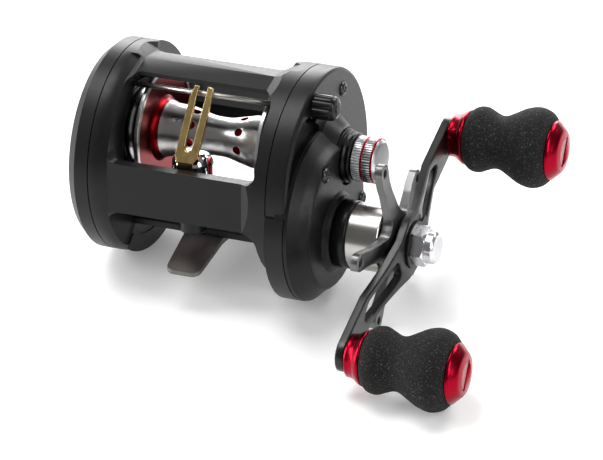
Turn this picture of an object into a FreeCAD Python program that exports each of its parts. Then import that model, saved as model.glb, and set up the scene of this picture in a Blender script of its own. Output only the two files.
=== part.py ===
"""Round baitcasting reel: side-plated aluminium frame, geared spool, level wind, star drag, twin handle.

Frame: origin at the middle of the reel foot's underside, which seats on the rod.  +X runs along the
spool axis towards the handle, +Z away from the rod, -Y to the line-guide side.  All lengths in mm.
The pieces are laid out with the foot's underside at FOOT_Z, and save() brings it down to z = 0.
"""
import FreeCAD, Part
import os
import math

V = FreeCAD.Vector
os.makedirs("parts", exist_ok=True)

# ---------------------------------------------------------------- driving dimensions
HALF = 29.1                 # parting plane of each side cover, from the middle of the foot
RING_R = 32.5               # side rings and covers
RING_Y = -2.0               # axis of the side rings
RING_Z = 25.1
SPOOL_Y = -0.5              # axis of the spool, cast control knob and pinion
SPOOL_Z = 31.2
DRIVE_Y = -10.0             # axis of the handle, drive gear and star drag
DRIVE_Z = 10.5
CASE_Y = -10.0              # axis of the round gear case
CASE_Z = 14.9
CASE_R = 26.1
CASE_WALL = 1.4
BLOCK_REAR = 4.0            # where the frame's part of the gear case ends at the rear
WORM_Y = -22.4              # axis of the level-wind worm
WORM_R = 2.7

DRIVE_TEETH = 53            # drive gear and pinion give 5.3 spool turns to one handle turn
PINION_TEETH = 10
WIND_TEETH = 28             # level-wind gear on the drive shaft
WORM_TEETH = 19
CENTRES = math.hypot(SPOOL_Y - DRIVE_Y, SPOOL_Z - DRIVE_Z)
MODULE = 2 * CENTRES / (DRIVE_TEETH + PINION_TEETH)
WORM_REACH = MODULE * (WIND_TEETH + WORM_TEETH) / 2
WORM_Z = DRIVE_Z + math.sqrt(WORM_REACH ** 2 - (WORM_Y - DRIVE_Y) ** 2)

WALL_L = -23.4              # inner face of the frame's left ring
WALL_R = 24.9               # inner face of the frame's right ring
CAVITY_R = 27.2             # spool chamber between the rings
BAR_FRONT = -33.0           # flat front face of the lower bar
BAR_BACK = -29.4
SEAM_WIDTH = 0.35           # shadow gap where a cover meets the frame
SEAM_DEPTH = 0.5
BAR_TOP = 31.0
FOOT_Z = 2.4                # underside of the foot while the pieces are laid out
FOOT_BAR_TOP = 7.0
FOOT_THICK = 1.8
FOOT_HALF_LENGTH = 31.0
FOOT_HALF_WIDTH = 6.3
FOOT_BEND = 15.0            # where the tongues bend down
FOOT_SLOPE = 17.0           # by this many degrees
RIVET_R = 1.08

FLANGE_R = 19.8             # spool flanges
FLANGE_X = 20.5             # outer face of each spool flange
PORT_X = 7.9                # the arbor's two rings of ports, from its middle
PORT_R = 1.3
PORT_DEPTH_R = 6.3          # radius at the bottom of the ports
PORTS = 8                   # in each ring
PORT_PHASE = 5.5            # degrees from -Y, downwards
BORE_R = 20.3               # the spool comes out through this bore in the left ring
GUIDE_X = 0.3               # where the line guide stands on its travel

COVER_FACE = 35.3           # outer face of the gear cover's rim
CASE_FACE = 41.8            # flat top of the gear case
BOSS_END = 44.4             # end of the cast control boss
YOKE_CEILING = 39.4         # inner face of the case over the yoke
COLLAR_SEAT = 40.35         # spot face under the cast control's collar
SLEEVE_X0 = 48.0            # polished sleeve round the one-way bearing
SLEEVE_X1 = 58.2

HANDLE_ANGLE = 26.0         # direction of the upper crank arm, from +Y towards +Z
HANDLE_REACH = 45.0         # drive axis to each knob axis
ARM_FACE = 66.5             # outer face of the crank arm at its hub
ARM_THICK = 2.7
ARM_SWEEP = 4.0             # how far the arm's ends sweep back towards the reel
STAR_ANGLE = 31.0
STAR_ARMS = 5
STAR_REACH = 24.0
STAR_TIP_R = 2.7
STAR_HUB_R = 9.4
COLLAR_X0 = 62.95           # inner face of each knob's collar
KNOB_X0 = 64.4              # where the collar widens
KNOB_X1 = 98.8
KNURLS = 54                 # flutes round the cast control knob

BUTTON_Y = -12.4
BUTTON_Z = 50.7
BUTTON_R = 3.9
BUTTON_TRAVEL = 3.5
YOKE_LIFT = 1.6

SPOOL = (SPOOL_Y, SPOOL_Z)
DRIVE = (DRIVE_Y, DRIVE_Z)
RING = (RING_Y, RING_Z)
CASE = (CASE_Y, CASE_Z)
WORM = (WORM_Y, WORM_Z)


# ---------------------------------------------------------------- helpers
def cyl(x0, x1, radius, axis):
    """Solid cylinder along X."""
    return Part.makeCylinder(radius, x1 - x0, V(x0, axis[0], axis[1]), V(1, 0, 0))


def tube(x0, x1, outer, inner, axis):
    return cyl(x0, x1, outer, axis).cut(cyl(x0 - 1, x1 + 1, inner, axis))


def box(x0, x1, y0, y1, z0, z1):
    return Part.makeBox(x1 - x0, y1 - y0, z1 - z0, V(x0, y0, z0))


def fuse(shapes):
    result = shapes[0]
    for shape in shapes[1:]:
        result = result.fuse(shape)
    return result.removeSplitter()


def prism(points, x0, x1):
    """Extrudes a closed outline of (y, z) points along X."""
    corners = [V(x0, y, z) for y, z in points]
    face = Part.Face(Part.makePolygon(corners + corners[:1]))
    return face.extrude(V(x1 - x0, 0, 0))


def turned(points, axis):
    """Revolves a closed outline of (x, radius) points about an axis along X."""
    corners = [V(x, axis[0] + radius, axis[1]) for x, radius in points]
    face = Part.Face(Part.makePolygon(corners + corners[:1]))
    return face.revolve(V(0, axis[0], axis[1]), V(1, 0, 0), 360)


def at_angle(axis, radius, degrees):
    """A point round an axis: degrees from +Y towards +Z."""
    a = math.radians(degrees)
    return (axis[0] + radius * math.cos(a), axis[1] + radius * math.sin(a))


def spin(shape, axis, degrees):
    """Turns a shape about an axis along X."""
    copy = shape.copy()
    copy.rotate(V(0, axis[0], axis[1]), V(1, 0, 0), degrees)
    return copy


def ring_point(y, z):
    """A point given from the ring axis."""
    return (RING_Y + y, RING_Z + z)


def round_plate(x0, x1, low, high, radius, depth):
    """Rounded rectangle in X and Z, as deep as depth (y0, y1)."""
    plate = box(x0, x1, depth[0], depth[1], low, high)
    edges = [e for e in plate.Edges if abs(e.tangentAt(e.FirstParameter).y) > 0.9]
    return plate.makeFillet(radius, edges)


def radial_window(x0, x1, low, high, radius, degrees):
    """A window with round corners, cut outwards from the ring axis in one direction.

    low and high are its sides, measured across that direction.
    """
    window = round_plate(x0, x1, low, high, radius, (12.0, 50.0))
    window.rotate(V(0, 0, 0), V(1, 0, 0), degrees)
    window.translate(V(0, RING_Y, RING_Z))
    return window


def soften(shape, radius, wanted):
    """Fillets the edges that wanted() accepts, and leaves them sharp if that fails."""
    edges = [e for e in shape.Edges if wanted(e)]
    if not edges:
        return shape
    try:
        rounded = shape.makeFillet(radius, edges)
    except Part.OCCError:
        return shape
    return rounded if rounded.isValid() and rounded.Volume > 0 else shape


def save(name, shape):
    shape.translate(V(0, 0, -FOOT_Z))
    shape.exportStep("parts/" + name + ".step")


def gear(teeth, x0, x1, axis, bore, phase):
    """Spur gear with straight-flanked teeth; a tooth is centred on the phase angle."""
    pitch = MODULE * teeth / 2
    tip = pitch + 0.85 * MODULE
    root = pitch - 1.15 * MODULE
    step = 360.0 / teeth
    flanks = ((-0.34, root), (-0.13, tip), (0.13, tip), (0.34, root))
    points = []
    for tooth in range(teeth):
        for part, radius in flanks:
            points.append(at_angle(axis, radius, phase + (tooth + part) * step))
    return prism(points, x0, x1).cut(cyl(x0 - 1, x1 + 1, bore, axis))


def mesh_phase(driver, driver_teeth, driver_phase, driven, driven_teeth):
    """Phase that puts a gap of the driven gear over a tooth of the driver, on the line of centres."""
    line = math.degrees(math.atan2(driven[1] - driver[1], driven[0] - driver[0]))
    into_tooth = (line - driver_phase) / (360.0 / driver_teeth)
    return line + 180.0 + (into_tooth + 0.5) * (360.0 / driven_teeth)


def across_case(along, outward):
    """A point from the spool axis: along the yoke, and outward from the case's axis."""
    reach = math.hypot(SPOOL_Y - CASE_Y, SPOOL_Z - CASE_Z)
    oy, oz = (SPOOL_Y - CASE_Y) / reach, (SPOOL_Z - CASE_Z) / reach
    return (SPOOL_Y - oz * along + oy * outward, SPOOL_Z + oy * along + oz * outward)


# places worked out from the driving dimensions
GUIDE_ROD = ring_point(-11.3, 24.4)
FOOT_RIVETS = [(x, y) for x in (-3.6, 3.6) for y in (-9.0, 9.0)]
LEFT_SCREWS = [at_angle(RING, 26.6, a) for a in (30, 150, 270)]
COVER_SCREWS = [(COVER_FACE, (9.5, 48.4)), (CASE_FACE, at_angle(CASE, 19.2, 118.0)),
                (CASE_FACE, at_angle(CASE, 19.2, -2.0))]
YOKE_POSTS = [across_case(side * 7.0, -1.6) for side in (-1, 1)]
CAM_TOE = across_case(9.0, -1.0)
PIN_X = 29.92               # cross pin of the spool shaft
BARREL_Y = WORM_Y           # the line guide's barrel stands over the worm
FORK_FOOT = (-27.3, 29.4)   # (y, z) of the fork's centre line, from its seat to its tip
FORK_HEEL = (-27.9, 33.0)
FORK_TIP = (-13.9, 52.0)


# ---------------------------------------------------------------- frame and covers
def upper_bar_cutters():
    """What lies above and below the upper bar's two flats."""
    above = [ring_point(-16.0, 26.95), ring_point(-5.3, 30.8), ring_point(4.4, 30.3),
             ring_point(12.0, 34.0), ring_point(12.0, 40.0), ring_point(-16.0, 40.0)]
    cutter = prism(above, -22.0, 20.4)
    # ramps from the flats up to the rings
    ends = []
    for near, far in ((-22.0, -25.6), (20.4, 25.0)):
        corners = [V(near, y, z) for y, z in above]
        face = Part.Face(Part.makePolygon(corners + corners[:1]))
        ends.append(face.extrude(V(far - near, -1.0, 2.0)))
    below = prism([ring_point(-14.0, 22.0), ring_point(-12.0, 27.1), ring_point(-10.9, 27.5),
                   ring_point(-5.0, 28.1), ring_point(4.0, 28.2), ring_point(8.0, 22.0)],
                  WALL_L, WALL_R)
    rounded = round_plate(WALL_L + 0.1, WALL_R, BAR_TOP, RING_Z + 28.2, 3.0, (-30.0, 12.0))
    return [cutter, below.common(rounded)] + ends


def seam(x0, x1):
    """Shadow gap round a ring, where its cover meets it."""
    return tube(x0, x1, RING_R + 1, RING_R - SEAM_DEPTH, RING)


def ring_bevel():
    """Bevel down the front of the left ring's inner edge, beside the windows."""
    x0, x1 = -26.6, WALL_L + 0.3
    bevel = turned([(x0, RING_R), (x1, RING_R - 1.4), (x1, RING_R + 1), (x0, RING_R + 1)], RING)
    return bevel.common(box(x0, x1, -60, RING_Y - 6.0, -20, 60))


def front_flat_cutter():
    """Flattens the front of the lower bar, and ramps up to the rings at its ends."""
    outline = [V(-26.4, BAR_FRONT - 2.4, 10), V(-23.2, BAR_FRONT, 10), V(20.6, BAR_FRONT, 10),
               V(25.2, BAR_FRONT - 2.4, 10)]
    face = Part.Face(Part.makePolygon(outline + outline[:1]))
    return face.extrude(V(0, 0, 26))


def gear_block():
    """The part of the gear housing that stands out below the ring, with its wall round the gears."""
    x0, x1 = HALF, COVER_FACE
    outer = cyl(x0, x1, CASE_R, CASE)
    keep = box(x0, x1, -60, BLOCK_REAR, -20, RING_Z - 2.6)
    wall = outer.common(keep).cut(cyl(x0 - 1, x1 + 1, CASE_R - CASE_WALL, CASE))
    wall = wall.cut(tube(x1 - SEAM_WIDTH, x1 + 1, CASE_R + 1, CASE_R - SEAM_DEPTH, CASE))
    floor = cyl(x0, x0 + 1.8, CASE_R, CASE).common(keep).cut(cyl(x0 - 1, x0 + 3, 30.0, RING))
    return wall.fuse(floor)


def make_frame():
    body = cyl(-HALF, HALF, RING_R, RING)
    body = body.cut(cyl(WALL_L, WALL_R, CAVITY_R, RING))
    body = body.cut(cyl(-HALF - 1, WALL_L + 1, BORE_R, SPOOL))
    body = body.cut(round_plate(WALL_L + 0.1, WALL_R, BAR_TOP, RING_Z + 28.6, 3.0, (-50.0, -13.4)))
    body = body.cut(radial_window(-23.9, 24.4, -16.7, 18.3, 6.0, 50.0))
    body = body.cut(radial_window(-23.9, 24.4, -9.5, 12.8, 5.0, -38.0))
    body = body.cut(radial_window(-23.9, 24.4, -11.5, 12.6, 5.0, -142.0))
    body = body.cut(box(WALL_L + 0.4, WALL_R - 0.4, -30, 30, -20, FOOT_Z + FOOT_THICK))
    body = body.cut(front_flat_cutter())
    body = body.cut(box(WALL_L + 1, WALL_R - 1, BAR_BACK, -20, 16, 32))
    for cutter in upper_bar_cutters() + [ring_bevel()]:
        body = body.cut(cutter)
    body = body.cut(seam(-HALF - 1, -HALF + SEAM_WIDTH))
    right_seam = seam(HALF - SEAM_WIDTH, HALF + 1)
    body = body.cut(right_seam.common(box(20, 40, -60, 60, RING_Z - 2.6, 60)))
    body = body.cut(right_seam.common(box(20, 40, BLOCK_REAR, 60, -20, RING_Z)))
    foot_bar = box(WALL_L - 1, WALL_R + 1, -14, 14, FOOT_Z + FOOT_THICK + 0.02,
                   FOOT_BAR_TOP)
    foot_bar = soften(foot_bar, 1.2, lambda e: abs(e.tangentAt(0).x) > 0.9 and e.CenterOfMass.z > 6)
    body = fuse([body, foot_bar, gear_block()])
    # seats for the guide rod, worm bushings, bearings and shafts
    cuts = [cyl(WALL_L - 3, WALL_R + 3, 0.8, GUIDE_ROD), cyl(WALL_L - 4.2, WALL_L + 1, 2.3, WORM),
            cyl(WALL_R - 1, HALF + 1, 2.3, WORM), cyl(WALL_R - 1, HALF + 1, 4.6, SPOOL),
            cyl(25.8, HALF + 1, 5.5, DRIVE)]
    cuts += [cyl(26.4, HALF + 1, 1.02, point) for x, point in COVER_SCREWS if x == COVER_FACE]
    cuts += [cyl(-HALF - 1, -26.4, 1.02, point) for point in LEFT_SCREWS]
    for x, y in FOOT_RIVETS:
        cuts.append(Part.makeCylinder(RIVET_R + 0.02, 8, V(x, y, 0)))
    for hole in cuts:
        body = body.cut(hole)
    return body


def make_left_cover():
    """Palm-side shell: a shallow cup with a wide chamfer, and a boss that carries the spool."""
    x0, x1 = -HALF, -36.8
    outer = turned([(x0, 0), (x0, RING_R), (-33.4, RING_R), (-36.3, 30.0), (x1, 28.9), (x1, 0)], RING)
    inner = turned([(x0 + 1, 0), (x0 + 1, 30.4), (-33.0, 30.4), (-34.9, 28.2), (-34.9, 0)], RING)
    shell = outer.cut(inner)
    boss = tube(-35.0, -29.6, 6.6, 4.6, SPOOL)
    brake_seat = tube(-35.0, -27.2, 14.4, 13.0, SPOOL)
    posts = [cyl(-35.0, -HALF - 0.05, 2.6, p) for p in LEFT_SCREWS]
    cover = fuse([shell, boss, brake_seat] + posts)
    groove = tube(-36.9, -36.3, 20.6, 19.4, RING)
    cover = cover.cut(groove)
    for point in LEFT_SCREWS:
        cover = cover.cut(cyl(-36.9, -35.6, 2.55, point)).cut(cyl(-36.9, -HALF + 1, 1.1, point))
    return cover


def case_outer():
    """Outside of the gear case: a round cone with a flat top, and a lobe round the spool axis."""
    bowl = turned([(32.0, 0), (32.0, CASE_R), (COVER_FACE, CASE_R), (36.2, 25.9), (39.6, 22.6),
                   (40.9, 21.9), (41.6, 21.2), (CASE_FACE, 20.5), (CASE_FACE, 0)], CASE)
    lobe = turned([(32.0, 0), (32.0, 12.6), (36.0, 12.4), (38.6, 10.2), (39.6, 9.4), (COLLAR_SEAT, 8.9),
                   (COLLAR_SEAT, 0)], SPOOL)
    return bowl, lobe


def case_inner():
    """Room for the gears inside the case."""
    bowl = turned([(28.0, 0), (28.0, CASE_R - CASE_WALL), (35.0, CASE_R - CASE_WALL), (39.0, 20.9),
                   (40.3, 19.8), (40.3, 0)], CASE)
    lobe = turned([(28.0, 0), (28.0, 11.0), (35.6, 10.8), (38.3, 8.2), (38.3, 0)], SPOOL)
    return bowl, lobe


def make_gear_cover():
    """Handle-side shell: round plate, gear case, cast control boss and one-way bearing boss."""
    x0 = HALF
    plate = turned([(x0, 0), (x0, RING_R), (34.2, RING_R), (34.9, 32.2), (COVER_FACE, 31.4),
                    (COVER_FACE, 0)], RING)
    # the front crescent of the plate is sunk below the rim
    sunk = cyl(33.5, 37, 30.3, RING).cut(cyl(33, 38, CASE_R + 0.3, CASE))
    reach = [(-40.0, 24.0), (-40.0, 49.0), (-16.0, 48.4), (-8.5, 42.8), (-8.5, 24.0)]
    sunk = sunk.common(prism(reach, 33, 38))
    bowl, lobe = case_outer()
    plate = plate.cut(sunk)
    solid = fuse([plate, bowl, lobe])
    inner_bowl, inner_lobe = case_inner()
    shelf = cyl(x0 - 1, 32.0, 30.6, RING)
    solid = solid.cut(inner_bowl).cut(inner_lobe).cut(shelf)
    # the frame's block takes the place of the rim below the parting line
    notch = cyl(x0 - 1, COVER_FACE, 60, CASE)
    notch = notch.common(box(x0 - 1, COVER_FACE, -60, BLOCK_REAR + 0.1, -40, RING_Z - 2.5))
    solid = solid.cut(notch)
    # the control collar seats in a spot face, over a pad that closes the case below it
    solid = fuse([solid, cyl(YOKE_CEILING, COLLAR_SEAT, 9.0, SPOOL)]).cut(cyl(COLLAR_SEAT, 45, 8.7, SPOOL))
    boss = cyl(YOKE_CEILING, BOSS_END, 6.1, SPOOL)
    drive_boss = turned([(41.0, 0), (41.0, 13.0), (41.9, 12.4), (42.6, 11.4), (43.5, 11.0),
                         (43.5, 0)], DRIVE)
    seat = cyl(40.2, SLEEVE_X0 - 0.2, 9.2, DRIVE)
    lugs = [cyl(37.0, 40.5, 2.2, point) for x, point in COVER_SCREWS if x == CASE_FACE]
    solid = fuse([solid, boss, drive_boss, seat] + lugs)
    cuts = [cyl(34, BOSS_END + 1, 3.4, SPOOL), cyl(34, 39.7, 4.4, SPOOL),
            cyl(41.8, BOSS_END + 1, 5.0, SPOOL),
            cyl(38, 41.6, 5.1, DRIVE), cyl(41.5, SLEEVE_X0 + 1, 7.6, DRIVE)]
    slot_low = BUTTON_Z - BUTTON_TRAVEL - 1.9
    cuts.append(box(31, 37, BUTTON_Y - 1.9, BUTTON_Y + 1.9, slot_low, BUTTON_Z + 1.9))
    for hole in cuts:
        solid = solid.cut(hole)
    for x, point in COVER_SCREWS:
        solid = solid.cut(cyl(x - 0.6, x + 3, 2.35, point)).cut(cyl(x - 8, x + 1, 1.1, point))
    return solid


def make_foot():
    """Stamped foot: flat under the frame, with both tongues bent down and rounded at their corners."""
    half = FOOT_HALF_LENGTH
    drop = (half - FOOT_BEND) * math.tan(math.radians(FOOT_SLOPE))
    side = [(-half, -drop), (-FOOT_BEND, 0), (FOOT_BEND, 0), (half, -drop),
            (half, FOOT_THICK - drop - 0.5), (FOOT_BEND, FOOT_THICK), (-FOOT_BEND, FOOT_THICK),
            (-half, FOOT_THICK - drop - 0.5)]
    strip = prism(side, -FOOT_HALF_WIDTH, FOOT_HALF_WIDTH)
    wide, slim = FOOT_HALF_WIDTH, FOOT_HALF_WIDTH - 0.9
    plan = [(-slim, -half), (slim, -half), (wide, -FOOT_BEND), (wide, FOOT_BEND), (slim, half),
            (-slim, half), (-wide, FOOT_BEND), (-wide, -FOOT_BEND)]
    corners = [V(x, y, -12) for x, y in plan]
    outline = Part.Face(Part.makePolygon(corners + corners[:1])).extrude(V(0, 0, 18))
    tips = [e for e in outline.Edges if abs(e.tangentAt(e.FirstParameter).z) > 0.9
            and abs(e.CenterOfMass.y) > half - 0.1]
    foot = strip.common(outline.makeFillet(2.6, tips))
    for x, y in FOOT_RIVETS:
        foot = foot.cut(Part.makeCylinder(RIVET_R + 0.02, 8, V(x, y, -2)))
    foot.translate(V(0, 0, FOOT_Z))
    return foot


def make_rivets():
    rivets = []
    for x, y in FOOT_RIVETS:
        shank = Part.makeCylinder(RIVET_R, 4.6, V(x, y, FOOT_Z + 0.05))
        head = Part.makeCone(2.0, 1.2, 0.8, V(x, y, FOOT_BAR_TOP + 0.02))
        rivets.append(shank.fuse(head).removeSplitter())
    return Part.makeCompound(rivets)


def screw(x, point, head, depth):
    """Countersunk-look cross-head screw: domed head, short shank, cross recess."""
    body = turned([(x - depth, 0), (x - depth, 1.0), (x - 0.5, 1.0), (x - 0.5, head), (x + 0.2, head),
                   (x + 0.8, head * 0.72), (x + 1.0, head * 0.35), (x + 1.0, 0)], point)
    y, z = point
    for degrees in (20, 110):
        slot = box(x + 0.3, x + 2, y - head * 0.6, y + head * 0.6, z - 0.32, z + 0.32)
        body = body.cut(spin(slot, point, degrees))
    return body


def make_cover_screws():
    return Part.makeCompound([screw(x, point, 2.25, 8.6 if x < 40 else 3.0) for x, point in COVER_SCREWS])


def make_left_screws():
    """The same screws, facing the palm side."""
    screws = []
    for point in LEFT_SCREWS:
        made = screw(36.1, point, 2.4, 9.5)
        screws.append(made.mirror(V(0, 0, 0), V(1, 0, 0)))
    return Part.makeCompound(screws)


def bearing(x0, x1, outer, bore, axis):
    """Shielded ball bearing, as one ring with a shield sunk in each side."""
    mid, half = (outer + bore) / 2, (outer - bore) / 2
    race = tube(x0, x1, outer, bore, axis)
    groove = tube(x1 - 0.25, x1 + 1, mid + half * 0.45, mid - half * 0.45, axis)
    back = tube(x0 - 1, x0 + 0.25, mid + half * 0.45, mid - half * 0.45, axis)
    return race.cut(groove).cut(back)


def make_bearing_sleeve():
    """Polished sleeve over the one-way bearing housing, screwed on the cover's boss."""
    outline = [(SLEEVE_X0, 9.0), (SLEEVE_X0, 9.8), (SLEEVE_X0 + 0.3, 10.0), (SLEEVE_X1 - 0.4, 10.0),
               (SLEEVE_X1, 9.7), (SLEEVE_X1, 5.4), (SLEEVE_X1 - 1.4, 5.4), (SLEEVE_X1 - 1.4, 9.0)]
    return turned(outline, DRIVE)


def make_drive_collar():
    """Black collar between the cover's boss and the polished sleeve."""
    outline = [(43.55, 9.25), (43.55, 10.3), (47.5, 10.3), (47.95, 10.05), (47.95, 9.25)]
    return turned(outline, DRIVE)


def make_control_collar():
    """Black ridged collar on the cast control boss."""
    outline = [(40.4, 6.15), (40.4, 8.4), (40.8, 8.4), (41.1, 7.4), (41.6, 7.4), (41.8, 7.9),
               (42.3, 7.9), (42.6, 7.2), (43.2, 7.2), (43.5, 7.6), (44.0, 7.6), (44.3, 7.1), (44.3, 6.15)]
    return turned(outline, SPOOL)


def make_springs():
    """Two yoke return springs, as wire coils on the guide posts."""
    coils = []
    for post in YOKE_POSTS:
        path = Part.makeHelix(0.7, 2.1, 1.55)
        wire = Part.Wire([Part.makeCircle(0.24, V(1.55, 0, 0), V(0, 1, 0))])
        coil = Part.Wire(path.Edges).makePipeShell([wire], True, True)
        coil.rotate(V(0, 0, 0), V(0, 1, 0), 90)
        coil.translate(V(37.02, post[0], post[1]))
        coils.append(coil)
    return Part.makeCompound(coils)


# ---------------------------------------------------------------- spool
def make_spool():
    """Ported waisted arbor with two dished flanges."""
    f = FLANGE_X
    half = [(f, FLANGE_R - 0.5), (f - 0.35, FLANGE_R), (f - 1.3, FLANGE_R), (f - 1.5, FLANGE_R - 0.3),
            (f - 1.5, FLANGE_R - 1.6), (f - 1.2, FLANGE_R - 2.2), (f - 1.2, 10.2), (f - 1.8, 9.5),
            (f - 2.9, 8.9), (f - 4.6, 8.3), (f - 7.5, 8.0), (f - 9.5, 8.0), (3.4, 6.2), (1.5, 6.0)]
    left = [(-x, r) for x, r in reversed(half)]
    inside = [(-f, 4.4), (-14.0, 4.4), (-13.0, 5.2), (-11.0, 6.4), (-4.0, 5.0), (4.0, 5.0), (11.0, 6.4),
              (13.0, 5.2), (14.0, 4.4), (f, 4.4)]
    body = turned(half + left + inside, SPOOL)
    dish = turned([(f - 0.6, 8.0), (f - 0.6, 17.4), (f + 1, 17.8), (f + 1, 8.0)], SPOOL)
    body = body.cut(dish).cut(dish.mirror(V(0, 0, 0), V(1, 0, 0)))
    for x in (-PORT_X, PORT_X):
        for port in range(PORTS):
            hole = Part.makeCylinder(PORT_R, 6, V(x, SPOOL_Y - PORT_DEPTH_R, SPOOL_Z), V(0, -1, 0))
            body = body.cut(spin(hole, SPOOL, 360.0 / PORTS * port + PORT_PHASE))
    return body


def make_spool_shaft():
    outline = [(-34.6, 0), (-34.6, 1.7), (-34.3, 2.0), (-22.0, 2.0), (-21.9, 4.36), (-14.2, 4.36),
               (-14.0, 2.4), (14.0, 2.4), (14.2, 4.36), (21.9, 4.36), (22.0, 2.4), (28.6, 2.4),
               (28.8, 1.7), (45.6, 1.7), (46.2, 1.1), (46.2, 0)]
    shaft = turned(outline, SPOOL)
    return shaft.cut(Part.makeCylinder(0.6, 20, V(PIN_X, SPOOL_Y, SPOOL_Z - 10)))


def make_spool_pin():
    """Cross pin that drives the spool from the pinion's slot."""
    return Part.makeCylinder(0.59, 5.4, V(PIN_X, SPOOL_Y, SPOOL_Z - 2.7))


def make_brake_hub():
    """Six-armed carrier of the centrifugal brake, pressed on the spool shaft."""
    parts = [tube(-25.6, -22.2, 4.0, 2.02, SPOOL)]
    for arm in range(6):
        pin = Part.makeCylinder(0.55, 7.3, V(-24.0, SPOOL_Y + 3.4, SPOOL_Z), V(0, 1, 0))
        parts.append(spin(pin, SPOOL, 60 * arm))
    return fuse(parts)


def make_brake_blocks():
    blocks = []
    for arm in range(6):
        block = Part.makeCylinder(1.3, 2.6, V(-24.0, SPOOL_Y + 8.0, SPOOL_Z), V(0, 1, 0))
        block = block.cut(Part.makeCylinder(0.57, 4, V(-24.0, SPOOL_Y + 7.0, SPOOL_Z), V(0, 1, 0)))
        blocks.append(spin(block, SPOOL, 60 * arm))
    return Part.makeCompound(blocks)


# ---------------------------------------------------------------- gears and clutch
def make_pinion():
    """Pinion with its drive slot at the spool end and the clutch groove at the other."""
    hub = tube(29.3, 31.0, 2.85, 1.8, SPOOL)
    hub = hub.cut(box(29.2, 30.7, SPOOL_Y - 0.7, SPOOL_Y + 0.7, SPOOL_Z - 5, SPOOL_Z + 5))
    phase = mesh_phase(DRIVE, DRIVE_TEETH, 0.0, SPOOL, PINION_TEETH)
    teeth = gear(PINION_TEETH, 30.9, 35.5, SPOOL, 1.8, phase)
    tail = turned([(35.4, 1.8), (35.4, 4.0), (35.8, 4.0), (35.8, 3.0), (36.9, 3.0), (36.9, 4.0),
                   (37.6, 4.0), (37.6, 3.0), (39.6, 3.0), (39.6, 1.8)], SPOOL)
    return fuse([hub, teeth, tail])


def make_yoke():
    """Flat fork in the pinion's groove, with a ramp that the button's cam lifts."""
    outline = [across_case(9.0, 0.0), across_case(9.0, -4.0), across_case(-9.0, -4.0),
               across_case(-9.0, 0.0), across_case(-4.4, 2.2), across_case(4.4, 2.2)]
    plate = prism(outline, 35.95, 36.75)
    low = CAM_TOE[1] - BUTTON_TRAVEL
    side = [V(35.55, CAM_TOE[0] - 0.9, CAM_TOE[1]), V(36.0, CAM_TOE[0] - 0.9, CAM_TOE[1]),
            V(36.0, CAM_TOE[0] - 0.9, low), V(35.55 - YOKE_LIFT, CAM_TOE[0] - 0.9, low)]
    ramp = Part.Face(Part.makePolygon(side + side[:1])).extrude(V(0, 1.8, 0))
    plate = fuse([plate, ramp])
    throat = prism([across_case(3.2, 0), across_case(-3.2, 0), across_case(-3.2, 9),
                    across_case(3.2, 9)], 35, 38)
    plate = plate.cut(throat).cut(cyl(35, 38, 3.2, SPOOL))
    for post in YOKE_POSTS:
        plate = plate.cut(cyl(33, 38, 1.25, post))
    return plate


def make_yoke_posts():
    """Two posts in the gear cover that guide the yoke."""
    return Part.makeCompound([cyl(35.6, YOKE_CEILING - 0.02, 1.15, post) for post in YOKE_POSTS])


def make_button():
    """Ribbed thumb button on a square stem."""
    axis = (BUTTON_Y, BUTTON_Z)
    head = turned([(35.7, 0), (35.7, BUTTON_R - 0.4), (36.2, BUTTON_R), (41.2, BUTTON_R),
                   (42.4, BUTTON_R - 0.7), (42.9, 2.0), (42.9, 0)], axis)
    for rib in range(12):
        point = at_angle(axis, BUTTON_R + 0.45, 30 * rib + 15)
        head = head.cut(cyl(34.9, 42.2, 0.85, point))
    stem = box(31.72, 36.2, BUTTON_Y - 1.6, BUTTON_Y + 1.6, BUTTON_Z - 1.6, BUTTON_Z + 1.6)
    return fuse([head, stem])


def make_clutch_cam():
    """Slide under the button that carries the cam post to the yoke."""
    y, z = CAM_TOE
    slide = prism([(BUTTON_Y - 2.4, BUTTON_Z + 1.4), (BUTTON_Y + 2.4, BUTTON_Z + 1.4),
                   (BUTTON_Y + 2.6, 44.0), (y + 1.4, 38.6), (y + 1.4, z - 0.1),
                   (y - 1.4, z - 0.1), (BUTTON_Y - 2.4, 42.0)], 30.6, 31.7)
    toe = box(31.6, 35.4, y - 0.9, y + 0.9, z, z + 1.8)
    return fuse([slide, toe])


def make_drive_shaft():
    outline = [(25.9, 0), (25.9, 2.2), (26.1, 2.5), (29.4, 2.5), (29.4, 3.4), (38.4, 3.4), (38.4, 3.2),
               (66.9, 3.2), (66.9, 2.6), (70.4, 2.6), (70.4, 0)]
    shaft = turned(outline, DRIVE)
    flat = box(56, 67, DRIVE_Y - 4, DRIVE_Y + 4, DRIVE_Z + 2.7, DRIVE_Z + 5)
    other = box(56, 67, DRIVE_Y - 4, DRIVE_Y + 4, DRIVE_Z - 5, DRIVE_Z - 2.7)
    return shaft.cut(spin(flat.fuse(other), DRIVE, HANDLE_ANGLE))


def make_drive_gear():
    """Bronze main gear, dished for the drag stack."""
    body = gear(DRIVE_TEETH, 31.5, 34.4, DRIVE, 3.45, 0.0)
    dish = cyl(32.6, 35, 13.2, DRIVE)
    rim = tube(34.0, 35, 17.0, 14.6, DRIVE)
    return body.cut(dish).cut(rim)


def make_drag_washers():
    """Drag stack: fibre and steel washers by turns."""
    stack = []
    for layer in range(5):
        x = 32.65 + layer * 0.82
        stack.append(tube(x, x + 0.76, 12.8 if layer < 4 else 11.0, 3.45, DRIVE))
    return Part.makeCompound(stack)


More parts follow.
